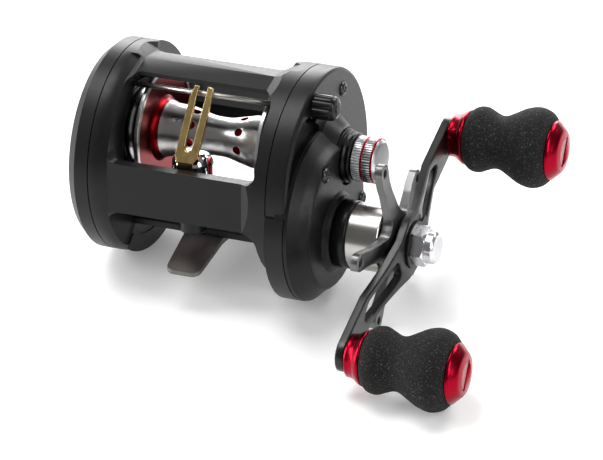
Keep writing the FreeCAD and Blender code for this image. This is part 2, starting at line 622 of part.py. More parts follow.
def make_drag_spring():
    """Two coned spring washers under the star nut."""
    cone_a = [(36.9, 3.5), (37.5, 6.4), (37.9, 6.4), (37.3, 3.5)]
    cone_b = [(38.6, 3.5), (38.0, 6.4), (38.4, 6.4), (39.0, 3.5)]
    return Part.makeCompound([turned(cone_a, DRIVE), turned(cone_b, DRIVE)])


def make_wind_gear():
    """Level-wind drive gear, pressed on the drive shaft below the main gear."""
    return gear(WIND_TEETH, 29.75, 30.95, DRIVE, 3.42, 0.0)


def make_worm_gear():
    phase = mesh_phase(DRIVE, WIND_TEETH, 0.0, WORM, WORM_TEETH)
    return gear(WORM_TEETH, 29.75, 30.95, WORM, 1.52, phase)


def make_worm():
    """Reversing worm between its bushings, as wide as the tops of its crossed grooves."""
    outline = [(WALL_L - 4.0, 0), (WALL_L - 4.0, 1.5), (-22.4, 1.5), (-22.4, WORM_R), (22.4, WORM_R),
               (22.4, 1.5), (31.1, 1.5), (31.1, 0)]
    return turned(outline, WORM)


def make_worm_bushings():
    left = tube(WALL_L - 4.1, WALL_L + 0.3, 2.28, 1.55, WORM)
    right = tube(WALL_R - 0.3, HALF - 0.1, 2.28, 1.55, WORM)
    return Part.makeCompound([left, right])


def make_one_way_bearing():
    """Shell of the needle clutch in the cover's boss, which lets the handle turn one way only."""
    return tube(42.0, 47.6, 7.58, 6.5, DRIVE)


def make_one_way_rollers():
    return Part.makeCompound([cyl(42.6, 47.0, 0.75, at_angle(DRIVE, 5.65, 36 * k)) for k in range(10)])


def make_clutch_tube():
    """Inner tube of the one-way bearing, turning with the handle."""
    return tube(39.1, 58.0, 4.8, 3.25, DRIVE)


# ---------------------------------------------------------------- line guide
def make_carriage():
    """Chromed barrel round the worm, with a rounded top and a cross bore."""
    axis = V(GUIDE_X, BARREL_Y, 17.2)
    barrel = Part.makeCylinder(6.3, 17.2, axis)
    crown = [e for e in barrel.Edges if e.CenterOfMass.z > 34]
    barrel = barrel.makeFillet(3.4, crown)
    barrel = barrel.cut(cyl(GUIDE_X - 9, GUIDE_X + 9, WORM_R + 0.3, WORM))
    barrel = barrel.cut(cyl(GUIDE_X - 9, GUIDE_X + 9, FLANGE_R + 0.6, SPOOL))
    barrel = barrel.cut(Part.makeCylinder(1.95, 6, axis - V(0, 0, 1)))
    seat = box(GUIDE_X - 2.45, GUIDE_X + 2.45, -30, FORK_FOOT[0] + 0.95, 29.2, 40)
    mouth = box(GUIDE_X - 3.6, GUIDE_X + 3.6, -30, FORK_FOOT[0] + 1.8, 32.2, 40)
    return barrel.cut(seat).cut(mouth)


def make_fork():
    """Brass two-tined line guide, bent back over the barrel and seated on its front."""
    foot, heel, tip = FORK_FOOT, FORK_HEEL, FORK_TIP
    lean = math.atan2(tip[1] - heel[1], tip[0] - heel[0])
    ny, nz = math.sin(lean) * 0.6, -math.cos(lean) * 0.6
    side = [(foot[0] - 0.6, foot[1]), (heel[0] - 0.6, heel[1]), (tip[0] - ny, tip[1] - nz),
            (tip[0] + ny, tip[1] + nz), (heel[0] + 0.6, heel[1] - 0.6), (foot[0] + 0.6, foot[1])]
    blade = prism(side, GUIDE_X - 6, GUIDE_X + 6)
    neck, wide, top = 2.4, 3.6, 3.5
    z_neck, z_shoulder = foot[1] + 3.0, foot[1] + 5.0
    half = [(neck, foot[1] - 1), (neck, z_neck), (wide, z_shoulder), (top, tip[1] - 2.5),
            (3.1, tip[1] - 0.9), (2.5, tip[1] + 1), (1.5, tip[1] + 1), (1.25, z_shoulder + 2.6)]
    curve = [(1.25 * math.cos(math.radians(a)), z_shoulder + 2.6 - 1.25 * math.sin(math.radians(a)))
             for a in range(15, 180, 15)]
    outline = half + curve + [(-x, z) for x, z in reversed(half)]
    corners = [V(GUIDE_X + x, -40, z) for x, z in outline]
    face = Part.Face(Part.makePolygon(corners + corners[:1]))
    return blade.common(face.extrude(V(0, 40, 0)))


def make_pawl():
    """Pawl whose blade rides in the worm's groove."""
    stem = Part.makeCylinder(1.85, 4.6, V(GUIDE_X, BARREL_Y, 13.4))
    blade = box(GUIDE_X - 0.4, GUIDE_X + 0.4, BARREL_Y - 1.5, BARREL_Y + 1.5, 17.9,
                WORM_Z - WORM_R - 0.3)
    return stem.fuse(blade).removeSplitter()


def make_pawl_cap():
    cap = Part.makeCylinder(4.35, 7.9, V(GUIDE_X, BARREL_Y, 9.2))
    cap = cap.makeFillet(0.7, [e for e in cap.Edges if e.CenterOfMass.z < 9.5])
    return cap.cut(Part.makeCylinder(1.95, 4.2, V(GUIDE_X, BARREL_Y, 13.2)))


# ---------------------------------------------------------------- outside controls
def make_control_knob():
    """Knurled cast control cap."""
    x0 = BOSS_END + 0.15
    body = turned([(x0, 0), (x0, 6.6), (x0 + 0.3, 6.95), (x0 + 2.9, 6.95), (x0 + 3.0, 6.6), (x0 + 3.5, 6.6),
                   (x0 + 3.6, 6.95), (x0 + 6.2, 6.95), (x0 + 6.3, 6.6), (x0 + 6.8, 6.6), (x0 + 6.9, 6.5),
                   (x0 + 7.6, 5.7), (x0 + 7.6, 0)], SPOOL)
    for flute in range(KNURLS):
        point = at_angle(SPOOL, 7.15, 360.0 / KNURLS * flute)
        body = body.cut(cyl(x0 + 0.3, x0 + 6.2, 0.32, point))
    return body.cut(cyl(x0 - 1, x0 + 2.2, 2.2, SPOOL))


def make_control_rings():
    x0 = BOSS_END + 0.15
    first = tube(x0 + 3.0, x0 + 3.5, 6.92, 6.61, SPOOL)
    second = tube(x0 + 6.3, x0 + 6.8, 6.92, 6.61, SPOOL)
    return Part.makeCompound([first, second])


def star_outline():
    """Star with round tips and hollow flanks, as (y, z) points round the drive axis."""
    points = []
    sector = 360.0 / STAR_ARMS
    for arm in range(STAR_ARMS):
        middle = STAR_ANGLE + arm * sector
        tip = at_angle(DRIVE, STAR_REACH, middle)
        for a in range(-90, 91, 15):
            points.append(at_angle(tip, STAR_TIP_R, middle + a))
        swing = math.degrees(math.atan2(2.0, STAR_REACH))
        depth = STAR_REACH - STAR_TIP_R - STAR_HUB_R
        for k in range(1, 20):
            t = k / 20.0
            reach = STAR_HUB_R + depth * abs(2 * t - 1) ** 4
            points.append(at_angle(DRIVE, reach, middle + swing + t * (sector - 2 * swing)))
    return points


def make_star():
    """Five-armed star drag: the arms lean back towards the reel."""
    blank = prism(star_outline(), 54, 64)
    dish = turned([(59.2, 0), (59.2, 7.4), (58.9, 9.0), (57.0, 20.0), (56.6, 28.0), (59.0, 28.0),
                   (59.4, 20.0), (61.2, 11.0), (62.4, 8.5), (62.8, 7.6), (62.8, 0)], DRIVE)
    star = blank.common(dish)
    for arm in range(STAR_ARMS):
        point = at_angle(DRIVE, STAR_REACH, STAR_ANGLE + arm * 360.0 / STAR_ARMS)
        star = star.cut(cyl(54, 64, 1.3, point))
    return star.cut(cyl(54, 64, 3.3, DRIVE))


def arm_point(along, across):
    """A point of the crank arm: along towards the upper knob, across towards the front."""
    a = math.radians(HANDLE_ANGLE)
    return (DRIVE_Y + along * math.cos(a) - across * math.sin(a),
            DRIVE_Z + along * math.sin(a) + across * math.cos(a))


def arm_half_width(along):
    """Half width of the arm: a round hub, narrowing in a curve to slim ends."""
    s = abs(along)
    hub = math.sqrt(max(0.0, 9.3 ** 2 - s ** 2)) if s < 9.3 else 0.0
    slim = 5.2 + 3.4 * math.exp(-((s / 13.0) ** 2))
    return max(hub, slim)


def make_arm():
    """Swept crank arm with a long tapering window in each half."""
    reach, end_r = HANDLE_REACH, 5.2
    stations = [-reach + 3.0 * k for k in range(int(2 * reach / 3) + 1)]
    upper = [arm_point(s, arm_half_width(s)) for s in stations]
    lower = [arm_point(s, -arm_half_width(s)) for s in reversed(stations)]
    cap_a = [at_angle(arm_point(reach, 0), end_r, HANDLE_ANGLE + a) for a in range(75, -76, -15)]
    cap_b = [at_angle(arm_point(-reach, 0), end_r, HANDLE_ANGLE + 180 + a) for a in range(75, -76, -15)]
    blank = prism(upper + cap_a + lower + cap_b, 54, 70)
    f, t, low = ARM_FACE, ARM_THICK, ARM_FACE - ARM_SWEEP
    profile = [(-60, low), (-27, low), (-7, f), (7, f), (27, low), (60, low), (60, low - t), (27, low - t),
               (6.6, f - t), (-6.6, f - t), (-27, low - t), (-60, low - t)]
    corners = [V(x, DRIVE_Y + s, DRIVE_Z - 20) for s, x in profile]
    side = Part.Face(Part.makePolygon(corners + corners[:1])).extrude(V(0, 0, 40))
    arm = blank.common(spin(side, DRIVE, HANDLE_ANGLE))
    for way in (-1, 1):
        window = [arm_point(way * s, w) for s, w in
                  ((11.0, 3.3), (14.0, 3.5), (26.0, 3.0), (30.4, 1.6), (31.6, 0.6), (31.6, -0.6),
                   (30.4, -1.6), (26.0, -3.0), (14.0, -3.5), (11.0, -3.3), (10.0, -2.2), (10.0, 2.2))]
        arm = arm.cut(prism(window, 54, 70))
        arm = arm.cut(cyl(54, 70, 2.0, arm_point(way * reach, 0)))
    hole = cyl(54, 70, 3.3, DRIVE)
    return arm.cut(hole)


def make_retainer():
    """Black lock plate under the handle nut."""
    outline = [arm_point(7.2 * math.cos(math.radians(a)), 7.2 * math.sin(math.radians(a)))
               for a in range(0, 360, 12)]
    tab = [arm_point(*p) for p in ((3.0, -3.2), (9.6, -3.2), (9.6, 3.2), (3.0, 3.2))]
    plate = prism(outline, ARM_FACE + 0.05, ARM_FACE + 0.75)
    plate = fuse([plate, prism(tab, ARM_FACE + 0.05, ARM_FACE + 0.75)])
    return plate.cut(cyl(60, 70, 3.3, DRIVE))


def make_handle_nut():
    """Hexagon nut with a domed cap."""
    x0 = ARM_FACE + 0.8
    hexagon = prism([at_angle(DRIVE, 6.2, 60 * k + 10) for k in range(6)], x0, x0 + 3.8)
    round_off = turned([(x0, 0), (x0, 5.9), (x0 + 0.4, 6.3), (x0 + 3.2, 6.3), (x0 + 3.8, 5.5),
                        (x0 + 3.8, 0)], DRIVE)
    cap = turned([(x0 + 3.0, 0), (x0 + 3.0, 4.9), (x0 + 5.9, 4.9), (x0 + 6.7, 4.2), (x0 + 7.0, 3.2),
                  (x0 + 7.0, 0)], DRIVE)
    nut = fuse([hexagon.common(round_off), cap])
    return nut.cut(cyl(x0 - 1, x0 + 3.4, 2.65, DRIVE))


def knob_axis(way):
    return arm_point(way * HANDLE_REACH, 0)


def make_spindle(way):
    """Knob spindle riveted in the arm's end, with a shoulder outside it."""
    low = ARM_FACE - ARM_SWEEP
    outline = [(low - ARM_THICK - 0.5, 0), (low - ARM_THICK - 0.5, 2.6), (low - ARM_THICK - 0.02, 2.9),
               (low - ARM_THICK - 0.02, 1.98), (low + 0.02, 1.98), (low + 0.02, 4.6),
               (COLLAR_X0 - 0.15, 4.6), (COLLAR_X0 - 0.15, 2.2), (KNOB_X1 - 5.2, 2.2),
               (KNOB_X1 - 5.2, 3.4), (KNOB_X1 - 4.6, 3.4), (KNOB_X1 - 4.4, 0)]
    return turned(outline, knob_axis(way))


def make_knob_collar(way):
    outline = [(COLLAR_X0, 2.9), (COLLAR_X0, 6.2), (COLLAR_X0 + 0.3, 6.5), (KNOB_X0, 6.6),
               (KNOB_X0 + 1.6, 7.1), (KNOB_X0 + 2.1, 7.7), (KNOB_X0 + 3.5, 8.4), (KNOB_X0 + 3.9, 8.3),
               (KNOB_X0 + 3.9, 5.0), (KNOB_X0 + 14, 5.0), (KNOB_X0 + 14, 2.9)]
    return turned(outline, knob_axis(way))


def make_knob_grip(way):
    """Foam grip: a small lobe, a waist and a big lobe."""
    x0, x1 = KNOB_X0 + 3.95, KNOB_X1 - 3.7
    shape = [(0.0, 7.9), (0.7, 8.8), (2.2, 9.9), (4.5, 10.1), (7.0, 9.1), (9.3, 8.3), (11.5, 8.5),
             (14.5, 9.9), (18.0, 11.7), (21.5, 12.4), (24.4, 11.6), (26.2, 10.1), (x1 - x0, 9.0)]
    curve = Part.BSplineCurve()
    curve.interpolate([V(x0 + x, knob_axis(way)[0] + r, knob_axis(way)[1]) for x, r in shape])
    y, z = knob_axis(way)
    inner = Part.makePolygon([V(x1, y + 9.0, z), V(x1, y + 5.05, z), V(x0, y + 5.05, z), V(x0, y + 7.9, z)])
    face = Part.Face(Part.Wire([curve.toShape()] + inner.Edges))
    return face.revolve(V(0, y, z), V(1, 0, 0), 360)


def make_knob_cap(way):
    """Red end cap with a coin slot, screwed into the grip's core."""
    x1 = KNOB_X1
    outline = [(x1 - 3.65, 0), (x1 - 3.65, 8.9), (x1 - 3.2, 9.1), (x1 - 0.9, 6.9), (x1 - 0.4, 6.2),
               (x1, 4.0), (x1, 0)]
    axis = knob_axis(way)
    cap = turned(outline, axis)
    plug = tube(x1 - 8.0, x1 - 3.6, 4.95, 3.6, axis)
    slot = box(x1 - 0.9, x1 + 1, axis[0] - 4.6, axis[0] + 4.6, axis[1] - 0.6, axis[1] + 0.6)
    return fuse([cap, plug]).cut(spin(slot, axis, 62.0))


def make_knob_bushing(way):
    """Plain bush between the spindle and the knob's core."""
    return tube(KNOB_X0 + 0.3, KNOB_X0 + 5.0, 2.88, 2.24, knob_axis(way))


# ---------------------------------------------------------------- build
def main():
    shapes = {
        "frame": make_frame(),
        "left_cover": make_left_cover(),
        "gear_cover": make_gear_cover(),
        "reel_foot": make_foot(),
        "foot_rivets": make_rivets(),
        "guide_rod": cyl(WALL_L - 2.9, WALL_R + 2.9, 0.78, GUIDE_ROD),
        "cover_screws": make_cover_screws(),
        "left_cover_screws": make_left_screws(),
        "spool_bearing_left": bearing(-33.6, -31.2, 4.58, 2.03, SPOOL),
        "spool_bearing_right": bearing(41.9, 44.1, 4.98, 1.73, SPOOL),
        "drive_shaft_bearing": bearing(26.1, 28.7, 5.48, 2.53, DRIVE),
        "brake_ring": tube(-30.0, -22.6, 12.95, 11.1, SPOOL),
        "drive_collar": make_drive_collar(),
        "bearing_sleeve": make_bearing_sleeve(),
        "control_collar": make_control_collar(),
        "yoke_posts": make_yoke_posts(),
        "yoke_springs": make_springs(),
        "worm_bushings": make_worm_bushings(),
        "spool": make_spool(),
        "spool_shaft": make_spool_shaft(),
        "spool_pin": make_spool_pin(),
        "brake_hub": make_brake_hub(),
        "brake_blocks": make_brake_blocks(),
        "pinion": make_pinion(),
        "clutch_yoke": make_yoke(),
        "free_spool_button": make_button(),
        "clutch_cam": make_clutch_cam(),
        "drive_shaft": make_drive_shaft(),
        "drive_gear": make_drive_gear(),
        "drag_washers": make_drag_washers(),
        "drag_spring_washers": make_drag_spring(),
        "level_wind_gear": make_wind_gear(),
        "worm_gear": make_worm_gear(),
        "worm_shaft": make_worm(),
        "one_way_tube": make_clutch_tube(),
        "line_guide_carriage": make_carriage(),
        "line_guide_fork": make_fork(),
        "pawl": make_pawl(),
        "pawl_cap": make_pawl_cap(),
        "cast_control_knob": make_control_knob(),
        "cast_control_rings": make_control_rings(),
        "star_drag": make_star(),
        "handle_arm": make_arm(),
        "handle_retainer": make_retainer(),
        "handle_nut": make_handle_nut(),
        "one_way_bearing": make_one_way_bearing(),
        "one_way_rollers": make_one_way_rollers(),
    }
    for way, side in ((1, "upper"), (-1, "lower")):
        shapes[side + "_spindle"] = make_spindle(way)
        shapes[side + "_knob_collar"] = make_knob_collar(way)
        shapes[side + "_knob_grip"] = make_knob_grip(way)
        shapes[side + "_knob_cap"] = make_knob_cap(way)
        shapes[side + "_knob_bushing"] = make_knob_bushing(way)
    for name, shape in shapes.items():
        bounds = shape.BoundBox
        print("%-22s valid %s solids %d volume %.1f box %.1f..%.1f %.1f..%.1f %.1f..%.1f" % (
            name, shape.isValid(), len(shape.Solids), shape.Volume, bounds.XMin, bounds.XMax,
            bounds.YMin, bounds.YMax, bounds.ZMin, bounds.ZMax))
        save(name, shape)


main()
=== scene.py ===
import math

import bmesh
import bpy
from mathutils import Matrix, Vector


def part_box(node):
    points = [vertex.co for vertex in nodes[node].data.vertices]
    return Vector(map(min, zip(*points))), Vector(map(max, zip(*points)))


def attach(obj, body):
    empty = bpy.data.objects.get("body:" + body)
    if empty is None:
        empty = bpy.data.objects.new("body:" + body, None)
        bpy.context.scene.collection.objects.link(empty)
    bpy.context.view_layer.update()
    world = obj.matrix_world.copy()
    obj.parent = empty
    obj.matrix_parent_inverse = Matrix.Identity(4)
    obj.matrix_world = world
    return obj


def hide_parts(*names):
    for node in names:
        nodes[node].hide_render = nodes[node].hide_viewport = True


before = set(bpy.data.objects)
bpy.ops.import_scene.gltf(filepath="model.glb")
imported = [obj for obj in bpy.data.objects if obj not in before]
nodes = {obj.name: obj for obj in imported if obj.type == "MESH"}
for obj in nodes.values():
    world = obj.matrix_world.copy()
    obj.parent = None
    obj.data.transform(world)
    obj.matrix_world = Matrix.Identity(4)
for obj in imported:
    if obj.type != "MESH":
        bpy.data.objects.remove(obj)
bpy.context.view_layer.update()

MM = 0.001
UP = Vector((0.0, 0.0, 1.0))
CAMERA_AZIMUTH = 22.96
CAMERA_ELEVATION = 21.87
CAMERA_DISTANCE = 1.2
CAMERA_LENS = 238.7
# the middle of the picture, seen from the point where the ring axis meets the gear cover's joint
AIM_RIGHT, AIM_UP = -2.16 * MM, -17.7 * MM


# ---------------------------------------------------------------- places
def middle(node):
    low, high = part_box(node)
    return (low + high) / 2


SPOOL_AXIS = middle("spool_bearing_left")
DRIVE_AXIS = middle("bearing_sleeve")
WORM_AXIS = middle("worm_shaft")
RING_AXIS = middle("left_cover")


# ---------------------------------------------------------------- shader nodes
class Shader:
    """A principled material, with short ways to add the nodes that feed it."""

    def __init__(self, name, colour, rough, metal=0.0, **sockets):
        self.material = bpy.data.materials.new(name)
        self.material.use_nodes = True
        self.tree = self.material.node_tree
        self.bsdf = self.tree.nodes["Principled BSDF"]
        self.bsdf.inputs["Base Color"].default_value = (*colour, 1.0)
        self.bsdf.inputs["Roughness"].default_value = rough
        self.bsdf.inputs["Metallic"].default_value = metal
        for key, value in sockets.items():
            self.bsdf.inputs[key.replace("_", " ")].default_value = value
        self.bump_node = None

    def add(self, kind, **settings):
        node = self.tree.nodes.new(kind)
        for key, value in settings.items():
            setattr(node, key, value)
        return node

    def feed(self, node, socket, value):
        """Links a socket, or sets its value when a plain number is given."""
        if isinstance(value, bpy.types.NodeSocket):
            self.tree.links.new(value, node.inputs[socket])
        else:
            node.inputs[socket].default_value = value

    def math(self, operation, a, b=0.0, c=None):
        node = self.add("ShaderNodeMath", operation=operation)
        self.feed(node, 0, a)
        self.feed(node, 1, b)
        if c is not None:
            self.feed(node, 2, c)
        return node.outputs[0]

    def place(self):
        return self.add("ShaderNodeTexCoord").outputs["Object"]

    def scaled(self, factors):
        node = self.add("ShaderNodeMapping")
        self.feed(node, "Vector", self.place())
        node.inputs["Scale"].default_value = factors
        return node.outputs[0]

    def noise(self, scale, detail=3.0, vector=None):
        node = self.add("ShaderNodeTexNoise")
        self.feed(node, "Vector", vector if vector is not None else self.place())
        node.inputs["Scale"].default_value = scale
        node.inputs["Detail"].default_value = detail
        return node.outputs["Fac"]

    def cells(self, scale):
        node = self.add("ShaderNodeTexVoronoi", feature="F1")
        self.feed(node, "Vector", self.place())
        node.inputs["Scale"].default_value = scale
        return node.outputs["Distance"]

    def ramp(self, value, stops):
        """Colour ramp: stops are (position, colour)."""
        node = self.add("ShaderNodeValToRGB")
        self.feed(node, 0, value)
        points = node.color_ramp.elements
        while len(points) < len(stops):
            points.new(0.5)
        for point, (position, colour) in zip(points, stops):
            point.position = position
            point.color = (*colour, 1.0)
        return node.outputs["Color"]

    def between(self, value, low, high):
        node = self.add("ShaderNodeMapRange")
        self.feed(node, "Value", value)
        node.inputs["To Min"].default_value = low
        node.inputs["To Max"].default_value = high
        return node.outputs[0]

    def mix(self, mask, a, b):
        node = self.add("ShaderNodeMix", data_type="RGBA")
        self.feed(node, "Factor", mask)
        for socket, colour in ((node.inputs[6], a), (node.inputs[7], b)):
            if isinstance(colour, bpy.types.NodeSocket):
                self.tree.links.new(colour, socket)
            else:
                socket.default_value = (*colour, 1.0)
        return node.outputs[2]

    def colour(self, value):
        self.feed(self.bsdf, "Base Color", value)

    def rough(self, value):
        self.feed(self.bsdf, "Roughness", value)

    def bump(self, height, strength, distance):
        node = self.add("ShaderNodeBump")
        self.feed(node, "Height", height)
        node.inputs["Strength"].default_value = strength
        node.inputs["Distance"].default_value = distance
        if self.bump_node:
            self.tree.links.new(self.bump_node.outputs[0], node.inputs["Normal"])
        self.tree.links.new(node.outputs[0], self.bsdf.inputs["Normal"])
        self.bump_node = node

    def radius(self, axis):
        """(distance from an axis along X, distance along X) of the shaded point, in metres."""
        split = self.add("ShaderNodeSeparateXYZ")
        self.feed(split, 0, self.place())
        dy = self.math("SUBTRACT", split.outputs[1], axis.y)
        dz = self.math("SUBTRACT", split.outputs[2], axis.z)
        squares = self.math("ADD", self.math("MULTIPLY", dy, dy), self.math("MULTIPLY", dz, dz))
        return self.math("SQRT", squares), split.outputs[0]

    def lathe_marks(self, axis, strength):
        """Fine turning lines round an axis, as bump; the pattern is returned for the caller's change of
        roughness.
        """
        radius, along = self.radius(axis)
        joined = self.add("ShaderNodeCombineXYZ")
        self.feed(joined, 0, along)
        self.feed(joined, 1, radius)
        fine = self.noise(5200.0, 2.0, joined.outputs[0])
        self.bump(fine, strength, 0.00003)
        return fine


# ---------------------------------------------------------------- materials
def satin_paint(name, colour=(0.0042, 0.0044, 0.0048), rough=0.36, grain=0.24):
    """Fine-textured satin paint: a tight grain and slow tone changes."""
    s = Shader(name, colour, rough, 0.0, Specular_IOR_Level=0.24)
    grains = s.noise(3800.0, 2.0)
    slow = s.noise(70.0, 4.0)
    lighter = tuple(c * 1.5 + 0.0015 for c in colour)
    s.colour(s.mix(slow, colour, lighter))
    s.rough(s.between(s.noise(900.0, 3.0), rough - 0.05, rough + 0.09))
    s.bump(grains, grain, 0.00006)
    return s.material


def turned_metal(name, colour, rough, axis, marks=0.25):
    s = Shader(name, colour, rough, 1.0)
    fine = s.lathe_marks(axis, marks)
    s.rough(s.between(fine, max(0.03, rough - 0.05), rough + 0.10))
    tone = tuple(c * 0.86 for c in colour)
    s.colour(s.mix(s.noise(260.0, 3.0), tone, colour))
    return s.material


def brushed_metal(name, colour, rough, stretch, marks=0.18, metal=1.0):
    """Straight brushing: the grain is long in the direction where stretch is small."""
    s = Shader(name, colour, rough, metal)
    grain = s.noise(1.0, 3.0, s.scaled(stretch))
    s.bump(grain, marks, 0.00004)
    s.rough(s.between(grain, max(0.03, rough - 0.06), rough + 0.12))
    s.colour(s.mix(s.noise(180.0, 4.0), tuple(c * 0.82 for c in colour), colour))
    return s.material


def polished_metal(name, colour, rough):
    s = Shader(name, colour, rough, 1.0)
    smudge = s.noise(140.0, 4.0)
    s.rough(s.between(smudge, rough * 0.6, rough * 1.9))
    s.colour(s.mix(smudge, tuple(c * 0.93 for c in colour), colour))
    s.bump(s.noise(700.0, 2.0), 0.02, 0.00003)
    return s.material


def moulded_plastic(name, colour, rough=0.45):
    s = Shader(name, colour, rough, 0.0)
    s.rough(s.between(s.noise(1500.0, 3.0), rough - 0.08, rough + 0.10))
    s.colour(s.mix(s.noise(120.0, 3.0), tuple(c * 0.8 for c in colour), colour))
    s.bump(s.noise(2600.0, 2.0), 0.15, 0.00004)
    return s.material


def speckled_foam(name):
    """Closed-cell foam: skinned black with paler open cells and a grainy surface."""
    s = Shader(name, (0.012, 0.012, 0.0125), 0.85, 0.0, Specular_IOR_Level=0.2)
    pores = s.cells(1500.0)
    blotch = s.noise(420.0, 5.0)
    specks = s.ramp(s.noise(2100.0, 5.0), [(0.0, (0.005, 0.005, 0.0055)), (0.53, (0.011, 0.011, 0.0115)),
                                          (0.65, (0.048, 0.043, 0.039)), (0.75, (0.20, 0.175, 0.155))])
    s.colour(s.mix(s.between(blotch, 0.0, 0.45), specks, (0.008, 0.008, 0.0085)))
    s.rough(s.between(blotch, 0.75, 0.95))
    s.bump(pores, 0.55, 0.00016)
    s.bump(s.noise(2600.0, 3.0), 0.45, 0.0001)
    return s.material


FLANGE_DEPTH = 3.1 * MM     # how far in from the spool's end the red faces reach
RIM_WIDTH = 1.45 * MM       # bare rim round a red face
PORT_INSET = 12.6 * MM      # middle of a ring of ports, from the spool's end
PORT_REACH = 1.5 * MM
ARBOR_SLOPE = 0.237         # the arbor's skin: ARBOR_RADIUS at ARBOR_SIDE from the middle, rising outward
ARBOR_RADIUS = 7.50 * MM
ARBOR_SIDE = 9.15 * MM
ARBOR_SHOULDER = 7.93 * MM


def spool_finish():
    """Polished spool whose flange faces and ports are anodised red."""
    silver, red = (0.56, 0.555, 0.55), (0.17, 0.003, 0.006)
    s = Shader("spool_polished_and_red", silver, 0.22, 1.0)
    radius, along = s.radius(SPOOL_AXIS)
    low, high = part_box("spool")
    centre_x = (low.x + high.x) / 2
    flange_x, flange_r = (high.x - low.x) / 2, (high.z - low.z) / 2
    side = s.math("ABSOLUTE", s.math("SUBTRACT", along, centre_x))
    out_here = s.math("GREATER_THAN", side, flange_x - FLANGE_DEPTH)
    inside_rim = s.math("LESS_THAN", radius, flange_r - RIM_WIDTH)
    face = s.math("MULTIPLY", out_here, inside_rim)
    port_zone = s.math("COMPARE", side, flange_x - PORT_INSET, PORT_REACH)
    skin = s.math("MULTIPLY_ADD", side, ARBOR_SLOPE, ARBOR_RADIUS - ARBOR_SLOPE * ARBOR_SIDE)
    below_skin = s.math("LESS_THAN", radius, s.math("MINIMUM", skin, ARBOR_SHOULDER))
    port = s.math("MULTIPLY", port_zone, below_skin)
    mask = s.math("MAXIMUM", face, port)
    fine = s.lathe_marks(SPOOL_AXIS, 0.05)
    s.colour(s.mix(mask, silver, s.mix(s.noise(200.0, 3.0), red, (0.24, 0.005, 0.010))))
    s.rough(s.between(fine, 0.24, 0.36))
    return s.material


FLUTE_DEPTH = 0.10 * MM
KNURL_END = 1.2 * MM        # where the knurl stops, in from the cap's end


def knurled_silver():
    """Silver cap whose knurl carries painted shade: its flutes are coloured dark grey."""
    # groove is the painted shade colour for the bottoms of the flutes
    silver, groove = (0.66, 0.66, 0.67), (0.10, 0.10, 0.105)
    s = Shader("knurled_silver", silver, 0.30, 1.0)
    low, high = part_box("cast_control_knob")
    radius, along = s.radius(SPOOL_AXIS)
    # painted shade mask: points sunk below the knurl's crests, on the knurled band only
    cut = s.math("LESS_THAN", radius, (high.z - low.z) / 2 - FLUTE_DEPTH)
    banded = s.math("LESS_THAN", along, high.x - KNURL_END)
    s.colour(s.mix(s.math("MULTIPLY", cut, banded), silver, groove))
    s.rough(s.between(s.noise(900.0, 3.0), 0.24, 0.38))
    s.bump(s.noise(1500.0, 2.0), 0.05, 0.00003)
    return s.material


BLACK_PART = (0.005, 0.005, 0.0055)
STEEL = (0.62, 0.62, 0.64)
CHROME = (0.86, 0.86, 0.88)
RED = (0.32, 0.004, 0.018)
BRASS = (0.56, 0.40, 0.17)


def dress(names, material):
    for name in names:
        slots = nodes[name].data.materials
        slots.clear()
        slots.append(material)


